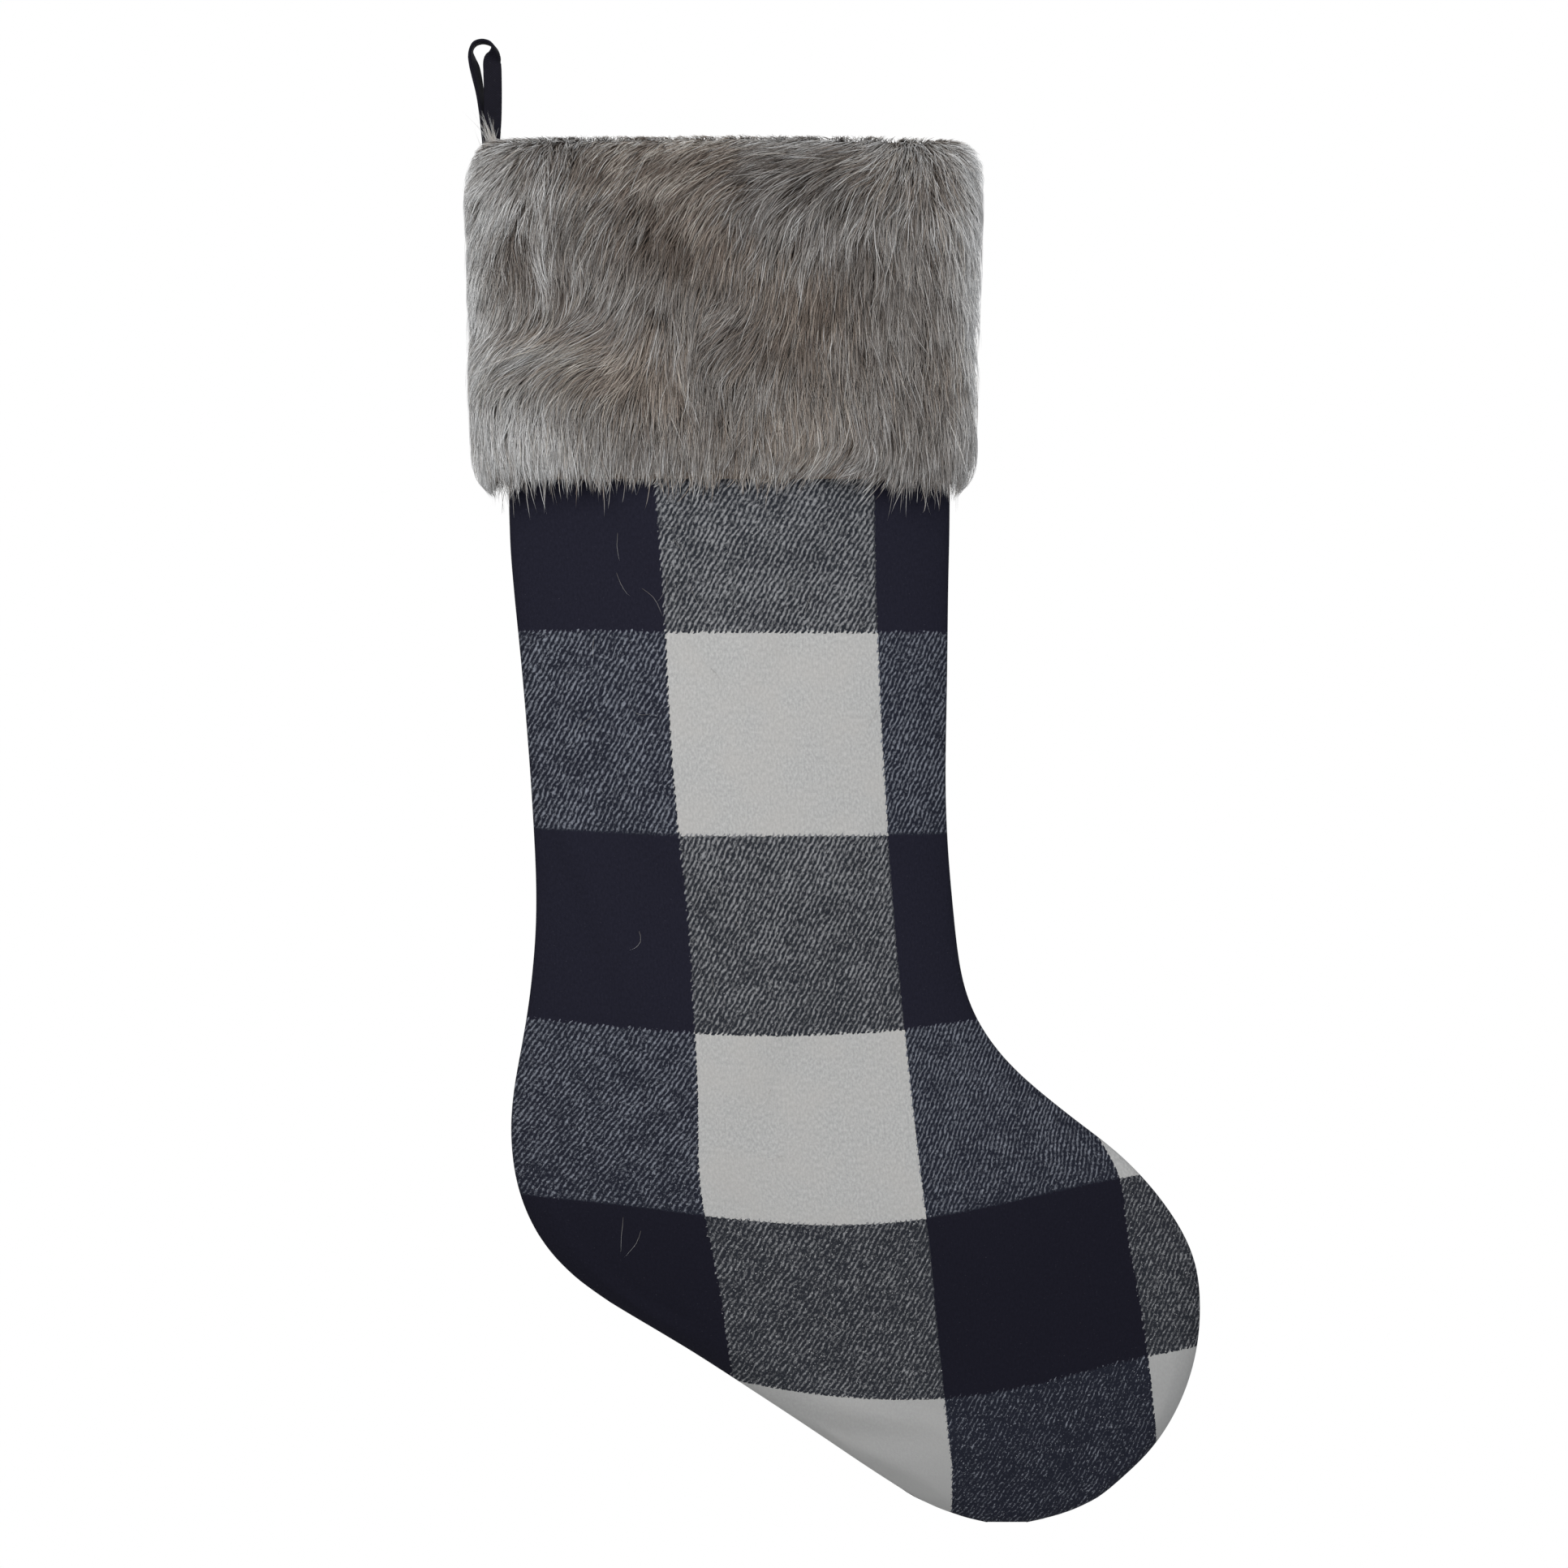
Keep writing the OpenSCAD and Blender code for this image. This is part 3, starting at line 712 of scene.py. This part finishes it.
class CuffShape:
    """The knitted band under the fur: a flattened tube with rounded corners, folded in at the top.

    A height runs up the wall in metres from its lower edge and on over the fold."""

    def __init__(self):
        low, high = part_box("cuff_front")
        self.left, self.right = low.x, high.x
        self.top, self.bottom = high.z, low.z
        self.middle = (low.x + high.x) / 2
        self.half = (high.x - low.x) / 2 - PILE
        self.depth = -low.y - PILE
        self.wall = self.top - PILE * 0.25 - ROLL - self.bottom
        angle = np.linspace(0, 2 * math.pi, 1441)
        x, y = self.ring(angle)
        length = np.concatenate([[0], np.cumsum(np.hypot(np.diff(x), np.diff(y)))])
        self.perimeter = length[-1]
        self.angle, self.along = angle, length / length[-1]

    def ring(self, angle):
        power = 2 / CUFF_POWER
        c, s = np.cos(angle), np.sin(angle)
        return (self.half * np.sign(c) * np.abs(c) ** power,
                self.depth * np.sign(s) * np.abs(s) ** power)

    def narrowing(self, z):
        """How much each end draws in at a height, at the taper and the rounded corners."""
        from_top = np.clip(self.top - z, 0, CORNER)
        from_low = np.clip(z - self.bottom, 0, LOW_CORNER)
        taper = CUFF_TAPER * clip01((self.top - z) / (self.top - self.bottom))
        top = CORNER - np.sqrt(CORNER ** 2 - (CORNER - from_top) ** 2)
        low = LOW_CORNER - np.sqrt(LOW_CORNER ** 2 - (LOW_CORNER - from_low) ** 2)
        return taper + TOP_ROUNDING * top + LOW_ROUNDING * low

    def at(self, around, height):
        """Points, outward normals and the directions down the band, at shares of the perimeter."""
        angle = np.interp(around % 1, self.along, self.angle)
        x, y = self.ring(angle)
        ahead_x, ahead_y = self.ring(angle + 0.01)
        behind_x, behind_y = self.ring(angle - 0.01)
        dx, dy = ahead_x - behind_x, ahead_y - behind_y
        size = np.hypot(dx, dy)
        outward = np.stack([dy / size, -dx / size, np.zeros_like(dx)], -1)
        up = np.array([0, 0, 1.0])
        turn = (np.maximum(height - self.wall, 0) / ROLL)[:, None]
        normal = outward * np.cos(turn) + up * np.sin(turn)
        down = outward * np.sin(turn) - up * np.cos(turn)
        z = self.bottom + np.minimum(height, self.wall)
        scale = (self.half - self.narrowing(z + 2 * MM)) / self.half
        points = np.stack([self.middle + x * scale, y, z], -1) + (normal - outward) * ROLL
        return points, normal, down

    def shares(self, points):
        """Where points of the front lie: across from the heel side and down from the top."""
        return ((points[:, 0] - self.left) / (self.right - self.left),
                (self.top - points[:, 2]) / (self.top - self.bottom))


def combed(fx, fz):
    """The lie of the fur on the front, in radians, blended from the comb marks near a place."""
    marks = np.array(COMB) / (100, 100, 1)
    gap = ((fx[:, None] - marks[:, 0]) / COMB_REACH[0]) ** 2
    gap = gap + ((fz[:, None] - marks[:, 1]) / COMB_REACH[1]) ** 2
    weight = np.exp(-gap / 2) + 1e-4 / (1 + gap) ** 2
    turn = np.radians(marks[:, 2])
    return np.arctan2(weight @ np.sin(turn), weight @ np.cos(turn))


def tone_at(fx, fz):
    """How pale the fur is, added to each hair's own share."""
    marks = np.array(TONES) / 100
    gap = ((fx[:, None] - marks[:, 0]) / marks[:, 2]) ** 2
    gap = gap + ((fz[:, None] - marks[:, 1]) / marks[:, 3]) ** 2
    return np.exp(-gap) @ marks[:, 4]


def swept_strands(name, lines, radius, tone, warm, material):
    """Tapered three-sided fibres along lines, an (n, rings, 3) array.

    Their map runs from root to tip, with the cooler hairs in its left half, the warmer in its right
    and each half from dark to pale."""
    n, rings, _ = lines.shape
    ahead = np.empty_like(lines)
    ahead[:, :-1] = lines[:, 1:] - lines[:, :-1]
    ahead[:, -1] = ahead[:, -2]
    ahead = unit(ahead)
    side = unit(np.cross(ahead[:, 0], np.array([0.31, 0.89, 0.33])))
    sides = np.empty_like(lines)
    for k in range(rings):
        side = unit(side - ahead[:, k] * (side * ahead[:, k]).sum(1, keepdims=True))
        sides[:, k] = side
    other = np.cross(ahead, sides)
    share = np.linspace(0, 1, rings)
    width = radius[:, None] * (1 - STRAND_TAPER * share ** 1.5)
    turn = 2 * math.pi * np.arange(STRAND_SIDES) / STRAND_SIDES
    spoke = sides[:, :, None] * np.cos(turn)[:, None] + other[:, :, None] * np.sin(turn)[:, None]
    body = (lines[:, :, None] + width[..., None, None] * spoke)[:, :-1]
    body = body.reshape(n, -1, 3)
    per = (rings - 1) * STRAND_SIDES + 1
    points = np.concatenate([body, lines[:, -1:]], 1).reshape(-1, 3)
    first = (np.arange(n) * per)[:, None, None]
    ring = (np.arange(rings - 1) * STRAND_SIDES)[:, None]
    k = np.arange(STRAND_SIDES)
    a, b = first + ring + k, first + ring + (k + 1) % STRAND_SIDES
    quads = np.stack([a, b, b + STRAND_SIDES, a + STRAND_SIDES], -1)[:, :-1].reshape(-1, 4)
    a, b = a[:, -1:], b[:, -1:]
    tips = np.stack([a, b, np.broadcast_to(first + per - 1, a.shape)], -1).reshape(-1, 3)
    base = np.stack([first[:, 0] + 2, first[:, 0] + 1, first[:, 0]], -1).reshape(-1, 3)
    v = np.concatenate([np.repeat(share[:-1], STRAND_SIDES), [1.0]])
    u_step = np.concatenate([np.tile(np.arange(STRAND_SIDES) / STRAND_SIDES, rings - 1), [0.5]])
    u = (0.01 + 0.47 * clip01(tone) + 0.5 * warm)[:, None] + 0.01 * u_step
    uv = np.stack([u, np.broadcast_to(0.02 + 0.96 * v, u.shape)], -1).reshape(-1, 2)
    return make_mesh(name, points, quads, tips, base, material=material, uv=uv, uv_name="OFBake")


def grow(shape, roots, normals, down, lean_of, length, lift, clump, gather):
    """Lines of fur from roots: out along the normal, then over the way the fur is combed there.

    The hairs of one lock are drawn together towards their tips."""
    n = len(roots)
    t = np.linspace(0, 1, STRAND_RINGS)
    step = length[:, None] / (STRAND_RINGS - 1)
    points = np.zeros((n, STRAND_RINGS, 3))
    points[:, 0] = roots
    locks = clump.max() + 1
    wander = RNG.normal(0, CURL, (n, 3))
    wave = RNG.normal(0, 0.12, locks)[clump]
    phase = RNG.uniform(0, 2 * math.pi, locks)[clump]
    across = np.cross(normals, down)
    across *= np.where(across[:, :1] < 0, -1, 1)
    for k in range(1, STRAND_RINGS):
        s = t[k - 1]
        lean = lean_of(points[:, k - 1]) + wave * np.sin(phase + 5 * s)
        flow = across * np.sin(lean)[:, None] + down * np.cos(lean)[:, None]
        direction = normals * (lift * (1 - s) ** 1.4 - 0.10 * s)[:, None] + flow
        direction = direction + wander * (0.4 + s)
        direction[:, 2] -= DROOP * s
        points[:, k] = points[:, k - 1] + unit(direction) * step
    centre = np.zeros((locks, STRAND_RINGS, 3))
    np.add.at(centre, clump, points)
    centre /= np.maximum(np.bincount(clump, minlength=locks), 1)[:, None, None]
    loose = RNG.random(n) < LOOSE_SHARE
    pull = np.where(loose, 0.1, RNG.uniform(0.45, 0.95, n))
    pull = np.minimum(pull * gather, 1.15)
    pull = (0.8 * t ** 1.4)[None, :, None] * pull[:, None, None]
    points = points * (1 - pull) + centre[clump] * pull
    return fenced(shape, points)


def fenced(shape, points):
    """The fur is trimmed and pressed, so that little of it stands past the cuff's own outline."""
    x, y, z = points[..., 0], points[..., 1], points[..., 2]
    draw = shape.narrowing(np.clip(z, shape.bottom, shape.top)) - 0.4 * MM
    under = shape.top - z
    left = shape.left + draw + 2.3 * MM * bell(under, 5 * MM, 7 * MM)
    right = shape.right - draw - 1.0 * MM * bell(under, 0, 6 * MM)
    x = np.where(x < left, left + (x - left) * SIDE_GIVE, x)
    x = np.where(x > right, right + (x - right) * SIDE_GIVE, x)
    deep = shape.depth + PILE
    y = np.where(np.abs(y) > deep, np.sign(y) * (deep + (np.abs(y) - deep) * FACE_GIVE), y)
    top = shape.top - 0.8 * MM
    z = np.where(z > top, top + (z - top) * TOP_GIVE, z)
    return np.stack([x, y, z], -1)


def fur_sector(shape, name, around0, around1, material):
    """The fur on one stretch of the band, from inside the fold down to the fringe."""
    locks = LOCKS
    reach = shape.wall + ROLL * FOLD_TURN
    lock_s = RNG.uniform(around0, around1, locks)
    lock_h = RNG.uniform(5 * MM, reach, locks)
    on_fold = RNG.random(locks) < FOLD_SHARE
    lock_h = np.where(on_fold, RNG.uniform(shape.wall - 3 * MM, reach, locks), lock_h)
    clump = np.repeat(np.arange(locks), HAIRS_PER_LOCK)
    n = len(clump)
    s = lock_s[clump] + RNG.normal(0, LOCK_SPREAD, n) / shape.perimeter
    h = np.clip(lock_h[clump] + RNG.normal(0, LOCK_SPREAD, n), 4 * MM, reach)
    roots, normals, down = shape.at(s, h)
    front = normals[:, 1] < 0.02
    flat = clip01(np.abs(normals[:, 1]) * 1.5 + 0.7 * clip01(normals[:, 2]))
    own = RNG.normal(0, 0.06, n) + RNG.normal(0, 0.13, locks)[clump]

    def lean_of(points):
        fx, fz = shape.shares(points)
        loose = 0.3 * value_noise(fx * 4 + 7, fz * 3 + 9, 31)
        loose = loose + 0.15 * value_noise(fx * 13, fz * 9 + 4, 3)
        combing = np.where(front, combed(fx, clip01(fz)), loose)
        calm = 1 - 0.6 * clip01(1 - fz / 0.04)
        return combing * flat * calm + own + 0.08 * value_noise(fx * 22 + 5, fz * 16 + 2, 41)

    fx, fz = shape.shares(roots)
    heel_side = clip01(1 - fx / 0.3)
    length = RNG.uniform(*HAIR_LENGTH_MM, n) * MM * (1 + 0.15 * value_noise(fx * 8, fz * 6 + 5, 8))
    length *= 1 + 0.25 * heel_side * clip01((fz - 0.55) / 0.2) * front
    length *= 1 - 0.55 * clip01((h - shape.wall + 3 * MM) / (2.2 * ROLL))
    # how far below the cuff's lower edge a hair may end, or above it if negative
    hang = (4.8 * heel_side + 3 * clip01((fx - 0.6) / 0.3)) * MM
    hang = hang - 7.5 * MM + RNG.normal(0, 1.9 * MM, locks)[clump] + RNG.exponential(4.3 * MM, n)
    hang = np.where(flat > 0.8, hang, np.minimum(hang, 2 * MM))
    room = roots[:, 2] - shape.bottom + hang
    length = np.minimum(length, room * RNG.uniform(0.8, 1.1, n))
    lift = RNG.uniform(0.32, 0.85, n) * (0.5 + 0.5 * clip01(h / (30 * MM)))
    lift *= 1 - 0.6 * clip01((h - shape.wall) / ROLL)
    guard = RNG.random(n) < GUARD_SHARE
    length = np.where(guard & (h < shape.wall - 8 * MM), np.minimum(length * 1.3, room), length)
    gather = 1 + 0.15 * clip01(1 - h / (26 * MM))
    gather = np.where(guard, 0.3, gather)
    lines = grow(shape, roots - normals * 0.6 * MM, normals, down, lean_of, length, lift, clump, gather)
    middle_x, middle_z = shape.shares(lines[:, 3])
    uneven = 0.66 + 0.95 * bell(fz, 0, 0.22) + 0.6 * bell(fx, 0, 0.2) + 0.5 * bell(fz, 1, 0.2)
    tone = 0.43 + (RNG.normal(0, 0.16, n) + RNG.normal(0, 0.11, locks)[clump]) * uneven + 0.22 * guard
    area = tone_at(middle_x, middle_z)
    # the front's paler and darker areas from TONES, with painted light and painted shade among them
    tone += np.where(front, 1.25 * area, 0.1 * value_noise(fx * 5, fz * 4 + 3, 91))
    # random tone, and paler fur where it faces sideways at the cuff's two ends: painted light on the
    # edges
    tone += 0.08 * value_noise(fx * 9 + 3, fz * 7 + 1, 21) + 0.12 * (1 - flat)
    brown = 0.42 + 0.7 * value_noise(fx * 6 + 1, fz * 5 + 8, 55) + RNG.normal(0, 0.3, n)
    warm = brown - np.where(front, 1.6 * area, 0) > 0.5
    obj = swept_strands(name, lines, RNG.uniform(*HAIR_RADIUS_MM, n) * MM, tone, warm, material)
    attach(obj, "stocking")
    return obj


def loop_wisps(shape, material):
    """Longer pale hairs that stand up from the fold in front of the loop's foot."""
    low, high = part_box("loop_tab")
    locks, per_lock = 22, 4
    clump = np.repeat(np.arange(locks), per_lock)
    n = len(clump)
    share = RNG.uniform(0, 1, locks)
    x = (low.x + 3.5 * MM + share * (high.x - low.x - 1.5 * MM))[clump] + RNG.normal(0, 0.7 * MM, n)
    roots = np.stack([x, np.full(n, -3.2 * MM), np.full(n, shape.top - 5 * MM)], -1)
    lean = np.radians(RNG.normal(-6, 7, locks) - 28 * share)[clump] + RNG.normal(0, 0.10, n)
    lean = np.maximum(lean, -0.62)
    length = (11 + 10 * share[clump]) * RNG.uniform(0.45, 1.1, n) * MM
    t = np.linspace(0, 1, STRAND_RINGS)[None, :, None]
    rise = np.stack([np.sin(lean), np.full(n, -0.10), np.cos(lean)], -1)[:, None]
    bend = np.clip(RNG.normal(0, 0.12, (n, 1, 3)), -0.15, 0.15) * (1, 0.3, 0.3)
    lines = roots[:, None] + length[:, None, None] * (t * rise + t * t * bend)
    tone = RNG.uniform(0.8, 1.0, n)
    warm = RNG.random(n) < 0.4
    obj = swept_strands("fur_wisps", lines, RNG.uniform(0.06, 0.10, n) * MM, tone, warm, material)
    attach(obj, "stocking")
    return obj


def backing_piece(shape, name, node, around0, around1, material):
    """The knitted band that carries one half of the fur, rolled over at the top."""
    columns = 90
    s = np.linspace(around0, around1, columns)
    heights = np.concatenate([np.linspace(4 * MM, shape.wall, 26),
                              shape.wall + ROLL * np.linspace(0.25, FOLD_TURN, 7)])
    rows = [shape.at(s, np.full(columns, h))[0] for h in heights]
    # the hem reaches in to the tape, which is further off at the heel side
    hem = rows[-1].copy()
    inward = shape.middle - hem[:, 0]
    hem[:, 0] += inward * 0.003 + HEM_IN * clip01(inward / shape.half) ** 4
    rows.append(hem)
    points = np.stack(rows).reshape(-1, 3)
    obj = make_mesh(name, points, grid_quads(len(rows), columns), material=material)
    solid = obj.modifiers.new("thickness", "SOLIDIFY")
    solid.thickness, solid.offset = 0.9 * MM, -1
    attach(obj, "stocking")
    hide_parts(node)


def make_cuff():
    """Both halves of the cuff: sectors of fur, the wisps at the loop and the knitted band."""
    shape = CuffShape()
    fur = fur_material()
    knit = knit_material("fur_backing_knit", linear(96, 86, 79), linear(122, 112, 104), 5200)
    for half, start, sectors in (("back", 0.0, BACK_SECTORS), ("front", 0.5, FRONT_SECTORS)):
        for k in range(sectors):
            around = start + 0.5 * k / sectors
            fur_sector(shape, f"fur_{half}_{k + 1}", around, around + 0.5 / sectors, fur)
        if half == "front":
            loop_wisps(shape, fur)
        backing_piece(shape, f"cuff_backing_{half}", f"cuff_{half}", start, start + 0.5, knit)


# ---------------- mouth

TAPE_SIDE, TAPE_FACE = 7.8 * MM, 2.6 * MM      # the tape's width at its two ends and at its middle


def make_mouth():
    """The folded tape round the mouth, crowned over the edges that it covers."""
    low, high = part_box("mouth_binding")
    middle = (low.x + high.x) / 2
    a, b = (high.x - low.x) / 2, high.y
    around = 180
    t = np.linspace(0, 2 * math.pi, around, endpoint=False)
    profile = [(0, 0), (0, 0.7), (0.06, 0.93), (0.2, 1), (0.5, 1.02), (0.8, 1), (0.94, 0.93),
               (1, 0.7), (1, 0)]
    rows = []
    for w, h in profile:
        x = middle + (a - TAPE_SIDE * w) * np.cos(t)
        y = (b - TAPE_FACE * w) * np.sin(t)
        wave = 0.12 * MM * np.sin(23 * t) * h
        rows.append(np.stack([x, y, np.full(around, low.z) + (high.z - low.z) * h * 0.98 + wave], -1))
    points = np.stack(rows).reshape(-1, 3)
    quads = grid_quads(len(rows), around, closed=True)
    j = np.arange(around)
    last = (len(rows) - 1) * around
    under = np.stack([last + j, last + (j + 1) % around, (j + 1) % around, j], -1)
    twill = knit_material("tape_twill", linear(190, 184, 172), linear(222, 217, 207), 6200)
    obj = make_mesh("mouth_tape", points, quads, under, material=twill)
    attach(obj, "stocking")
    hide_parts("mouth_binding")


# ---------------- hanging loop

STRIP_T = 1.24 * MM
STRIP_STEPS, STRIP_CORNERS = 150, 20


def make_loop():
    """The folded strip: flat at its foot, turned edge-on round the eye, with its front leg face-on."""
    tab_low, tab_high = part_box("loop_tab")
    foot = (tab_low.x + tab_high.x) / 2 / MM
    foot_z = tab_low.z / MM
    # across, front to back, up, width in mm, and how far the width turns from across (0) to deep (90)
    stations = [
        (foot + 0.3, 0.8, foot_z, 6.2, 0), (foot + 0.3, 0.8, -40, 6.3, 0), (foot, 0.9, -33, 6.4, 10),
        (foot - 1.1, 1.2, -26, 6.5, 36), (foot - 2.7, 1.1, -20, 6.5, 60),
        (foot - 3.9, 0.9, -15, 6.6, 69), (foot - 4.9, 0.6, -10, 6.8, 65),
        (foot - 5.95, 0.4, -5.4, 6.9, 64), (-3.95, 0.2, -2, 7.0, 76),
        (-4.1, 0.0, 0.6, 7.0, 90), (-2.7, 0.0, 2.9, 7.0, 90), (0.1, -0.1, 3.7, 7.0, 90),
        (3.0, -0.2, 2.9, 7.0, 88), (4.6, -0.4, 0.9, 7.0, 78), (4.62, -0.7, -1.5, 7.0, 55),
        (3.75, -1.0, -4.0, 6.8, 17), (3.85, -1.2, -8.0, 6.8, 5), (4.0, -1.3, -16, 6.7, 2),
        (3.9, -1.1, -25, 6.6, 0), (foot + 0.5, -0.9, -33, 6.4, 0), (foot + 0.3, -0.8, -40, 6.3, 0),
        (foot + 0.3, -0.8, foot_z, 6.2, 0),
    ]
    stations = np.array(stations, float)
    count, corners = STRIP_STEPS, STRIP_CORNERS
    at = np.linspace(0, len(stations) - 1, count)
    i = np.clip(at.astype(int), 0, len(stations) - 2)
    f = (at - i)[:, None]
    p0, p1 = stations[np.maximum(i - 1, 0)], stations[i]
    p2, p3 = stations[i + 1], stations[np.minimum(i + 2, len(stations) - 1)]
    line = 0.5 * (2 * p1 + (p2 - p0) * f + (2 * p0 - 5 * p1 + 4 * p2 - p3) * f ** 2
                  + (3 * p1 - p0 - 3 * p2 + p3) * f ** 3)
    place = line[:, :3] * MM
    ahead = unit(np.gradient(place, axis=0))
    turn = np.radians(line[:, 4])
    wide = np.stack([np.cos(turn), np.sin(turn), np.zeros(count)], -1)
    wide = unit(wide - ahead * (wide * ahead).sum(1, keepdims=True))
    thin = np.cross(ahead, wide)
    a = 2 * math.pi * np.arange(corners) / corners
    px = np.sign(np.cos(a)) * np.abs(np.cos(a)) ** 0.35
    py = np.sign(np.sin(a)) * np.abs(np.sin(a)) ** 0.6
    across = line[:, 3:4] / 2 * MM * px
    points = (place[:, None] + wide[:, None] * across[..., None]
              + thin[:, None] * (STRIP_T / 2 * py)[:, None])
    run = np.concatenate([[0], np.cumsum(np.linalg.norm(np.diff(place, axis=0), axis=1))]) / MM
    uv = np.stack([np.broadcast_to(run[:, None], across.shape), across / MM], -1)
    ends = np.array([list(range(corners))])
    obj = make_mesh("loop_strip", points.reshape(-1, 3), grid_quads(count, corners, closed=True),
                    ends[:, ::-1], ends + (count - 1) * corners, material=strip_material(),
                    uv=uv.reshape(-1, 2), uv_name="strip")
    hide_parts("hanging_loop", "loop_tab")
    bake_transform(obj)


STRAYS, STRAYS_UNDER_CUFF = 24, 15
STRAY_RADIUS = 0.05 * MM


def stray_hairs():
    """Loose hairs from the cuff that lie on the front of the leg just under it, and a few lower."""
    low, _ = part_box("outer_front")
    cuff_low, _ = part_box("cuff_front")
    tree = tree_of(bpy.data.objects["plaid_front"].data)
    lines = []
    for k in range(STRAYS):
        near = k < STRAYS_UNDER_CUFF
        under = 0.006 + RNG.exponential(0.035) if near else RNG.uniform(0.08, 0.33)
        z = cuff_low.z - min(under, 0.34)
        x = RNG.uniform(low.x + 0.012, low.x + 0.15)
        heading = RNG.normal(0, 0.8)
        turn = RNG.normal(0, 0.22)
        step = RNG.uniform(1.2, 2.8) * MM
        line = []
        for _ in range(STRAND_RINGS):
            hit = tree.ray_cast(Vector((x, low.y - 0.1, z)), Vector((0, 1, 0)))[0]
            if hit is None:
                break
            line.append((x, hit.y - RNG.uniform(0.3, 0.5) * MM, z))
            heading += turn + RNG.normal(0, 0.1)
            x, z = x + step * math.sin(heading), z - step * math.cos(heading)
        if len(line) == STRAND_RINGS:
            lines.append(line)
    lines = np.array(lines)
    n = len(lines)
    obj = swept_strands("stray_hairs", lines, np.full(n, STRAY_RADIUS), RNG.uniform(0.7, 1.0, n),
                        np.zeros(n), bpy.data.materials["fur_fibre"])
    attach(obj, "stocking")


def finish_threads():
    """The stitching keeps its CAD shape and gets a twisted-thread finish."""
    dark = thread_material("dark_spun_thread", linear(20, 20, 26), linear(52, 52, 62))
    pale = thread_material("pale_spun_thread", linear(196, 190, 180), linear(232, 228, 220))
    for thread, nodes in ((dark, ("loop_stitches", "outer_seam_thread", "cuff_seam_thread")),
                          (pale, ("lining_seam_thread", "mouth_stitches"))):
        for node in nodes:
            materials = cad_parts[node].data.materials
            materials.clear()
            materials.append(thread)


make_camera()
make_studio()
make_cloth()
make_cuff()
stray_hairs()
make_mouth()
make_loop()
finish_threads()
